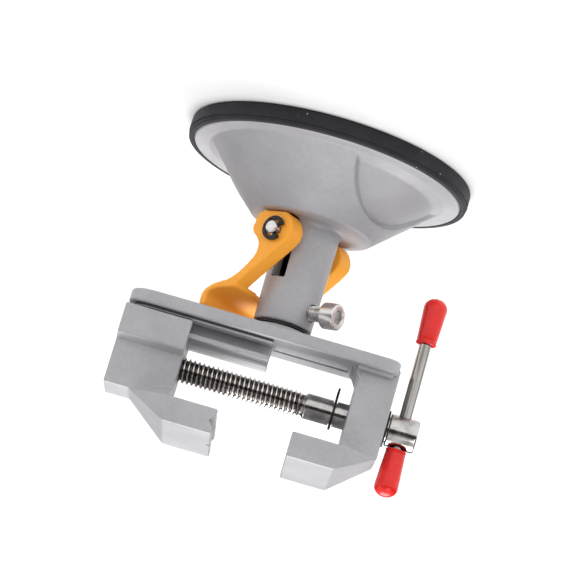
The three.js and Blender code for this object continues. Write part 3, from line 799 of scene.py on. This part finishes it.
# ---- vise head ----
def jaw_bracket(root, outer, shoulder, neck, face, wide, shoulder_z, undercut_z, head_top):
    """The arm and the flared head in one casting. outer, shoulder, neck and face are X positions."""
    half, head_low = ARM_HALF, head_top - HEAD_TALL
    points, names = [], {}

    def put(name, x, y, z):
        for hand, tag in ((-1, "f"), (1, "b")):
            names[name + tag] = len(points)
            points.append((x, hand * y, z))

    put("root_out", outer, half, root)
    put("root_in", neck, half, root)
    put("shoulder", shoulder, half, shoulder_z)
    put("under", neck, half, undercut_z)
    put("low_neck", neck, wide, head_low)
    put("high_neck", neck, wide, head_top)
    put("low_face", face, wide, head_low)
    put("high_face", face, wide, head_top)
    stepped = abs(shoulder - outer) > 0.1
    if stepped:
        put("corner", outer, half, shoulder_z)
    faces = []
    for tag in "fb":
        side = ["root_out", "root_in", "under", "shoulder"] + (["corner"] if stepped else [])
        faces.append([names[n + tag] for n in side])
        for group in (("shoulder", "under", "low_neck"), ("shoulder", "low_neck", "high_neck"),
                      ("low_neck", "low_face", "high_face", "high_neck")):
            faces.append([names[n + tag] for n in group])
    edge = "corner" if stepped else "shoulder"
    spans = [("root_out", edge), ("shoulder", "high_neck"), ("high_neck", "high_face"),
             ("high_face", "low_face"), ("low_face", "low_neck"), ("low_neck", "under"),
             ("under", "root_in"), ("root_in", "root_out")]
    if stepped:
        spans.append(("corner", "shoulder"))
    for a, b in spans:
        faces.append([names[a + "f"], names[b + "f"], names[b + "b"], names[a + "b"]])
    return faceted(points, faces)


def vise_body():
    low, high = mm_box("vise_body")
    bed_low, bed_top, tier, rail = low.z, low.z + 4.2, low.z + 5.4, low.z + 10.7
    arm_in, face = low.x + 12.4, low.x + 27.4
    rail_start, rail_end, bed_end = low.x + 40.9, high.x - 2, high.x
    bed_half, tier_half, neck_half, lip_half = 14.6, 12.5, 5.3, 10.2
    bracket = jaw_bracket(bed_low + 2, low.x, low.x, arm_in, face, high.y,
                          low.z + 31.1, low.z + 27, high.z)
    obj = piece("vise_casting", eased(bracket, 0.55, 3, 8), CAST, MACHINED, GAP_SHADE)

    bed = rounded([
        (low.x + 0.5, -bed_half, 5),
        (bed_end, -bed_half, 9),
        (bed_end, bed_half, 9),
        (low.x + 0.5, bed_half, 5),
    ], 10)
    with_solid(obj, eased(prism(bed, bed_low, bed_top, "xy"), 0.7, 3, 60))
    foot = block((low.x + 2, -tier_half, bed_top - 1), (arm_in + 1.2, tier_half, tier))
    with_solid(obj, eased(foot, 0.4, 2, 60))
    step = rounded([
        (rail_start, -tier_half, 0.6),
        (rail_end, -tier_half, 6),
        (rail_end, tier_half, 6),
        (rail_start, tier_half, 0.6),
    ], 8)
    with_solid(obj, eased(prism(step, bed_top - 1, tier, "xy"), 0.35, 2, 60))
    neck = block((rail_start, -neck_half, bed_top - 0.5), (rail_end, neck_half, rail - 0.4))
    with_solid(obj, eased(neck, 0.3, 2, 60))
    lip = rounded([
        (rail_start, -lip_half, 0.8),
        (rail_end, -lip_half, 2.5),
        (rail_end, lip_half, 2.5),
        (rail_start, lip_half, 0.8),
    ], 6)
    with_solid(obj, eased(prism(lip, rail - 1.6, rail, "xy"), 0.3, 2, 60))
    fillet = rounded([
        (arm_in - 1, bed_top - 0.5),
        (arm_in + 3, bed_top - 0.5),
        (arm_in + 1.2, tier + 0.3, 0.9),
        (arm_in, tier + 2.4),
        (arm_in - 1, tier + 2.4),
    ], 4)
    with_solid(obj, eased(prism(fillet, -ARM_HALF, ARM_HALF, "xz"), 0.3, 2, 80))

    bore_r, mouth_r = 4.5, 5.3
    journal = turned([
        (0, low.x - 1),
        (mouth_r, low.x - 1),
        (bore_r, low.x + 0.5),
        (bore_r, arm_in - 0.5),
        (mouth_r, arm_in + 1),
        (0, arm_in + 1),
    ], 64)
    with_solid(obj, placed(journal, SCREW_LINE), "DIFFERENCE")
    trough_start, trough_end = arm_in + 3.4, rail_start - 0.6
    trough = block((trough_start, -neck_half, bed_top - 0.5), (trough_end, neck_half, bed_top + 1))
    with_solid(obj, eased(trough, 0.3, 2, 60), "DIFFERENCE")

    # the rail's top takes the machined finish, and the step's sides under the jaw take the painted gap
    # shade
    for polygon in obj.data.polygons:
        centre = polygon.center / MM
        on_step = centre.x > rail_start and bed_top < centre.z < tier - 0.3
        if polygon.normal.z > 0.99 and abs(centre.z - rail) < 0.05:
            polygon.material_index = 1
        elif on_step and abs(polygon.normal.z) < 0.3:
            polygon.material_index = 2
    smooth(obj, 32)
    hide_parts("vise_body")
    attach(obj, "vise")


def moving_jaw():
    low, high = mm_box("moving_jaw")
    neck, outer = low.x + 15.6, high.x
    skirt_top = low.z + 9.7
    bracket = jaw_bracket(skirt_top - 4, outer, outer - 8.2, neck, low.x, high.y,
                          high.z - 8.8, high.z - 13, high.z)
    obj = piece("jaw_casting", eased(bracket, 0.55, 3, 8), CAST)

    skirt_half, shoulder_half = 13.7, 9.0
    skirt = rounded([
        (-skirt_half, low.z),
        (-skirt_half, skirt_top, 0.8),
        (-shoulder_half, skirt_top + 1.5),
        (shoulder_half, skirt_top + 1.5),
        (skirt_half, skirt_top, 0.8),
        (skirt_half, low.z),
    ], 4)
    with_solid(obj, eased(prism(skirt, neck, outer, "yz"), 0.5, 3, 60))

    neck_half, lip_half = 5.8, 10.6
    lip_low, lip_top = low.z + 2.9, low.z + 5.3
    rail_slot = rounded([
        (-neck_half, low.z - 1),
        (-neck_half, lip_low),
        (-lip_half, lip_low, 0.3),
        (-lip_half, lip_top, 0.4),
        (lip_half, lip_top, 0.4),
        (lip_half, lip_low, 0.3),
        (neck_half, lip_low),
        (neck_half, low.z - 1),
    ], 3)
    with_solid(obj, prism(rail_slot, neck - 1, outer + 1, "yz"), "DIFFERENCE")

    bore_r, mouth_r = 4.35, 5.4
    bore = turned([
        (0, neck - 1),
        (mouth_r, neck - 1),
        (bore_r, neck + 0.6),
        (bore_r, outer - 0.6),
        (mouth_r, outer + 1),
        (0, outer + 1),
    ], 64)
    with_solid(obj, placed(bore, SCREW_LINE), "DIFFERENCE")

    # one level and one upright V groove in the clamping face
    before, mid = low.x - 1, high.z - HEAD_TALL / 2
    level = [(before, mid - 3.1), (low.x + 1.8, mid), (before, mid + 3.1)]
    with_solid(obj, prism(level, -high.y - 1, high.y + 1, "xz"), "DIFFERENCE")
    upright = [(before, -2.6), (low.x + 1.6, 0), (before, 2.6)]
    with_solid(obj, prism(upright, high.z - HEAD_TALL - 1, high.z + 1, "xy"), "DIFFERENCE")
    smooth(obj, 32)
    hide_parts("moving_jaw")
    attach(obj, "jaw")


def lead_screw():
    low, high = mm_box("lead_screw")
    bar_x = joint_place("bar_slide")[0].x
    ring_low, ring_high = mm_box("screw_retaining_ring")
    knob_r, knob_end = 5.25, low.x + 9.5
    groove_r, groove_start, groove_end = SCREW_R - 0.6, ring_low.x - 0.3, ring_high.x + 0.3
    collar_end = -14.0
    profile = [
        (0, low.x),
        *rounded([
            (2, low.x),
            (knob_r, low.x, 0.8),
            (knob_r, knob_end, 0.6),
            (SCREW_R + 0.2, knob_end),
        ], 5, closed=False),
        (SCREW_R, knob_end),
        (SCREW_R, groove_start),
        (groove_r, groove_start),
        (groove_r, groove_end),
        (SCREW_R, groove_end),
        *rounded([
            (SCREW_R, collar_end - 2),
            (SCREW_R, collar_end, 0.2),
            (SCREW_R - 0.85, collar_end + 0.9, 0.2),
            (SCREW_R - 0.85, collar_end + 2),
        ], 3, closed=False),
        (SCREW_R - 0.95, collar_end + 3),
        (SCREW_R - 0.95, high.x - 0.3),
        (SCREW_R - 1.3, high.x),
        (0, high.x),
    ]
    obj = piece("screw_turned", placed(turned(profile, 96), SCREW_LINE), BRIGHT)
    hole_r, mouth_r, hole_half = 2.35, 2.7, 5.0
    hole = turned([
        (0, -hole_half - 3),
        (mouth_r, -hole_half - 3),
        (hole_r, -hole_half),
        (hole_r, hole_half),
        (mouth_r, hole_half + 3),
        (0, hole_half + 3),
    ], 48)
    with_solid(obj, placed(hole, Matrix.Translation((bar_x, 0, SCREW_Z))), "DIFFERENCE")
    rolled = thread(collar_end + 1.4, high.x - 0.1, SCREW_R, SCREW_PITCH, 64)
    join(obj, piece("rolled", placed(rolled, SCREW_LINE), THREAD))
    obj.data.materials.append(THREAD)
    for polygon in obj.data.polygons:
        if polygon.center.x / MM > collar_end + 1:
            polygon.material_index = 1
    smooth(obj, 32, weighted=False)
    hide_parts("lead_screw")
    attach(obj, "screw")


def tommy_bar():
    low, high = mm_box("tommy_bar")
    r, centre_x = 1.95, (low.x + high.x) / 2
    profile = [
        (0, low.z),
        *rounded([(1, low.z), (r, low.z, 0.4), (r, low.z + 2)], 4, closed=False),
        *rounded([(r, high.z - 2), (r, high.z, 0.4), (1, high.z)], 4, closed=False),
        (0, high.z),
    ]
    rod = placed(turned(profile, 64), Matrix.Translation((centre_x, 0, 0)))
    obj = piece("bar_rod", rod, TURNED_STEEL)
    smooth(obj, 40)
    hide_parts("tommy_bar")
    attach(obj, "bar")


def bar_cap(node, direction, seed):
    """A dipped cap. direction is 1 where it closes upward, and -1 where it closes downward."""
    low, high = mm_box(node)
    neck_z = low.z if direction > 0 else high.z
    centre_x, length = (low.x + high.x) / 2, high.z - low.z
    wide_r, mouth_r, bore_r = high.x - centre_x, 3.3, 2.05
    bead, dome = 1.4, wide_r * 0.85
    profile = [
        (0, length - 1.2),
        (bore_r, length - 1.2),
        (bore_r, 0.3),
        (bore_r + 0.3, 0.1),
        (mouth_r - 0.3, 0.0),
        (mouth_r, 0.2),
        (mouth_r + 0.08, 0.5),
        (mouth_r, 0.8),
        (mouth_r - 0.1, 1.05),
        (mouth_r - 0.02, bead),
        *evenly((mouth_r, bead), (wide_r, length - dome), 7)[1:],
    ]
    dome_steps = 12
    for k in range(1, dome_steps):
        angle = k / dome_steps * math.pi / 2
        profile.append((wide_r * math.cos(angle), length - dome + dome * math.sin(angle)))
    profile.append((0, length))

    def wavy(radius, height, angle):
        if radius < 2.5:
            return radius
        spot = Vector((math.cos(angle), math.sin(angle), height * 0.22 + seed))
        return radius * (1 - 0.008 * (1 + noise.noise(spot * 1.3)))

    flip = Matrix.Diagonal((1, 1, direction, 1))
    cap = placed(turned(profile, 72, wavy), Matrix.Translation((centre_x, 0, neck_z)) @ flip)
    obj = smooth(piece(node + "_dipped", cap, VINYL), 60, weighted=False)
    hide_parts(node)
    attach(obj, "bar")


def kept_node(node, material, bevel=0.0):
    """A CAD node shown as it is, with its finish and a small edge."""
    obj = frame["nodes"][node]
    obj.data.materials.clear()
    obj.data.materials.append(material)
    obj.data.shade_smooth()
    obj.data.set_sharp_from_angle(angle=math.radians(32))
    if bevel:
        modifier = obj.modifiers.new("edge", "BEVEL")
        modifier.width = bevel * MM
        modifier.segments = 2
        modifier.limit_method = "ANGLE"
        modifier.angle_limit = math.radians(50)


housing()
cup()
spring()
pin()
lever()
clamp_screw()
vise_body()
moving_jaw()
lead_screw()
tommy_bar()
bar_cap("bar_cap_upper", 1, 3.1)
bar_cap("bar_cap_lower", -1, 7.4)
kept_node("cup_plate", BRIGHT)
kept_node("cup_stem", DARK)
kept_node("cam_pin_clip_near", DARK, 0.1)
kept_node("cam_pin_clip_far", DARK, 0.1)
kept_node("swivel_spindle", CAST)
kept_node("swivel_washer", DARK)
kept_node("screw_retaining_ring", DARK, 0.1)
kept_node("thrust_washer", DARK, 0.1)


# ---- floor, light and camera ----
def lay_floor(half):
    mesh = bpy.data.meshes.new("floor")
    corners = [(-half, -half, 0), (half, -half, 0), (half, half, 0), (-half, half, 0)]
    mesh.from_pydata(corners, [], [(0, 1, 2, 3)])
    mesh.materials.append(pale_floor("pale_floor"))
    floor = bpy.data.objects.new("floor", mesh)
    bpy.context.scene.collection.objects.link(floor)
    floor.location.z = cad_bounds[0][2]


def studio_world(strength):
    """Light from above, and a dark band round the horizon for the metal to mirror."""
    world = bpy.data.worlds.new("studio")
    bpy.context.scene.world = world
    world.use_nodes = True
    nodes, links = world.node_tree.nodes, world.node_tree.links
    direction = nodes.new("ShaderNodeTexCoord")
    split = nodes.new("ShaderNodeSeparateXYZ")
    links.new(direction.outputs["Generated"], split.inputs["Vector"])
    sky = ramp(nodes, links, split.outputs["Z"], [
        (0.0, 0.04), (0.42, 0.05), (0.58, 0.6), (0.75, 0.9), (1.0, 1.0),
    ])
    links.new(sky, nodes["Background"].inputs["Color"])
    nodes["Background"].inputs["Strength"].default_value = strength


def lamp(name, kind, position, target, **settings):
    data = bpy.data.lights.new(name, kind)
    for key, value in settings.items():
        setattr(data, key, value)
    obj = bpy.data.objects.new(name, data)
    bpy.context.scene.collection.objects.link(obj)
    obj.matrix_world = along(Vector(position), Vector(position) - Vector(target))


def look_from(target, distance, yaw, elevation, roll, lens):
    """The camera. At yaw 0 it looks along +Y, and roll turns it about its own view."""
    level = math.cos(elevation)
    back = Vector((math.sin(yaw) * level, -math.cos(yaw) * level, math.sin(elevation)))
    right = Vector((math.cos(yaw), math.sin(yaw), 0))
    up = back.cross(right)
    rolled_right = right * math.cos(roll) + up * math.sin(roll)
    rolled_up = up * math.cos(roll) - right * math.sin(roll)
    camera = bpy.data.objects.new("camera", bpy.data.cameras.new("camera"))
    bpy.context.scene.collection.objects.link(camera)
    camera.data.sensor_width = 36
    camera.data.lens = lens
    camera.matrix_world = Matrix((rolled_right, rolled_up, back)).transposed().to_4x4()
    camera.matrix_world.translation = target + back * distance
    bpy.context.scene.camera = camera


lay_floor(6)
studio_world(0.95)
MIDDLE = (0, 0, 0.05)
lamp("overhead", "SUN", (-0.1, 0.45, 1.0), (0, 0, 0), energy=3.4, angle=math.radians(50))
lamp("key", "AREA", (-0.5, -0.75, 0.75), MIDDLE, energy=2.4, size=0.6)
lamp("side", "AREA", (0.8, -0.2, 0.45), MIDDLE, energy=0.9, size=0.5)
look_from(
    target=Vector((1.67, 0, 45.04)) * MM,
    distance=797.27 * MM,
    yaw=math.radians(-1.05),
    elevation=math.radians(13.09),
    roll=math.radians(196.36),
    lens=156.7,
)
bpy.context.scene.view_settings.view_transform = "Standard"
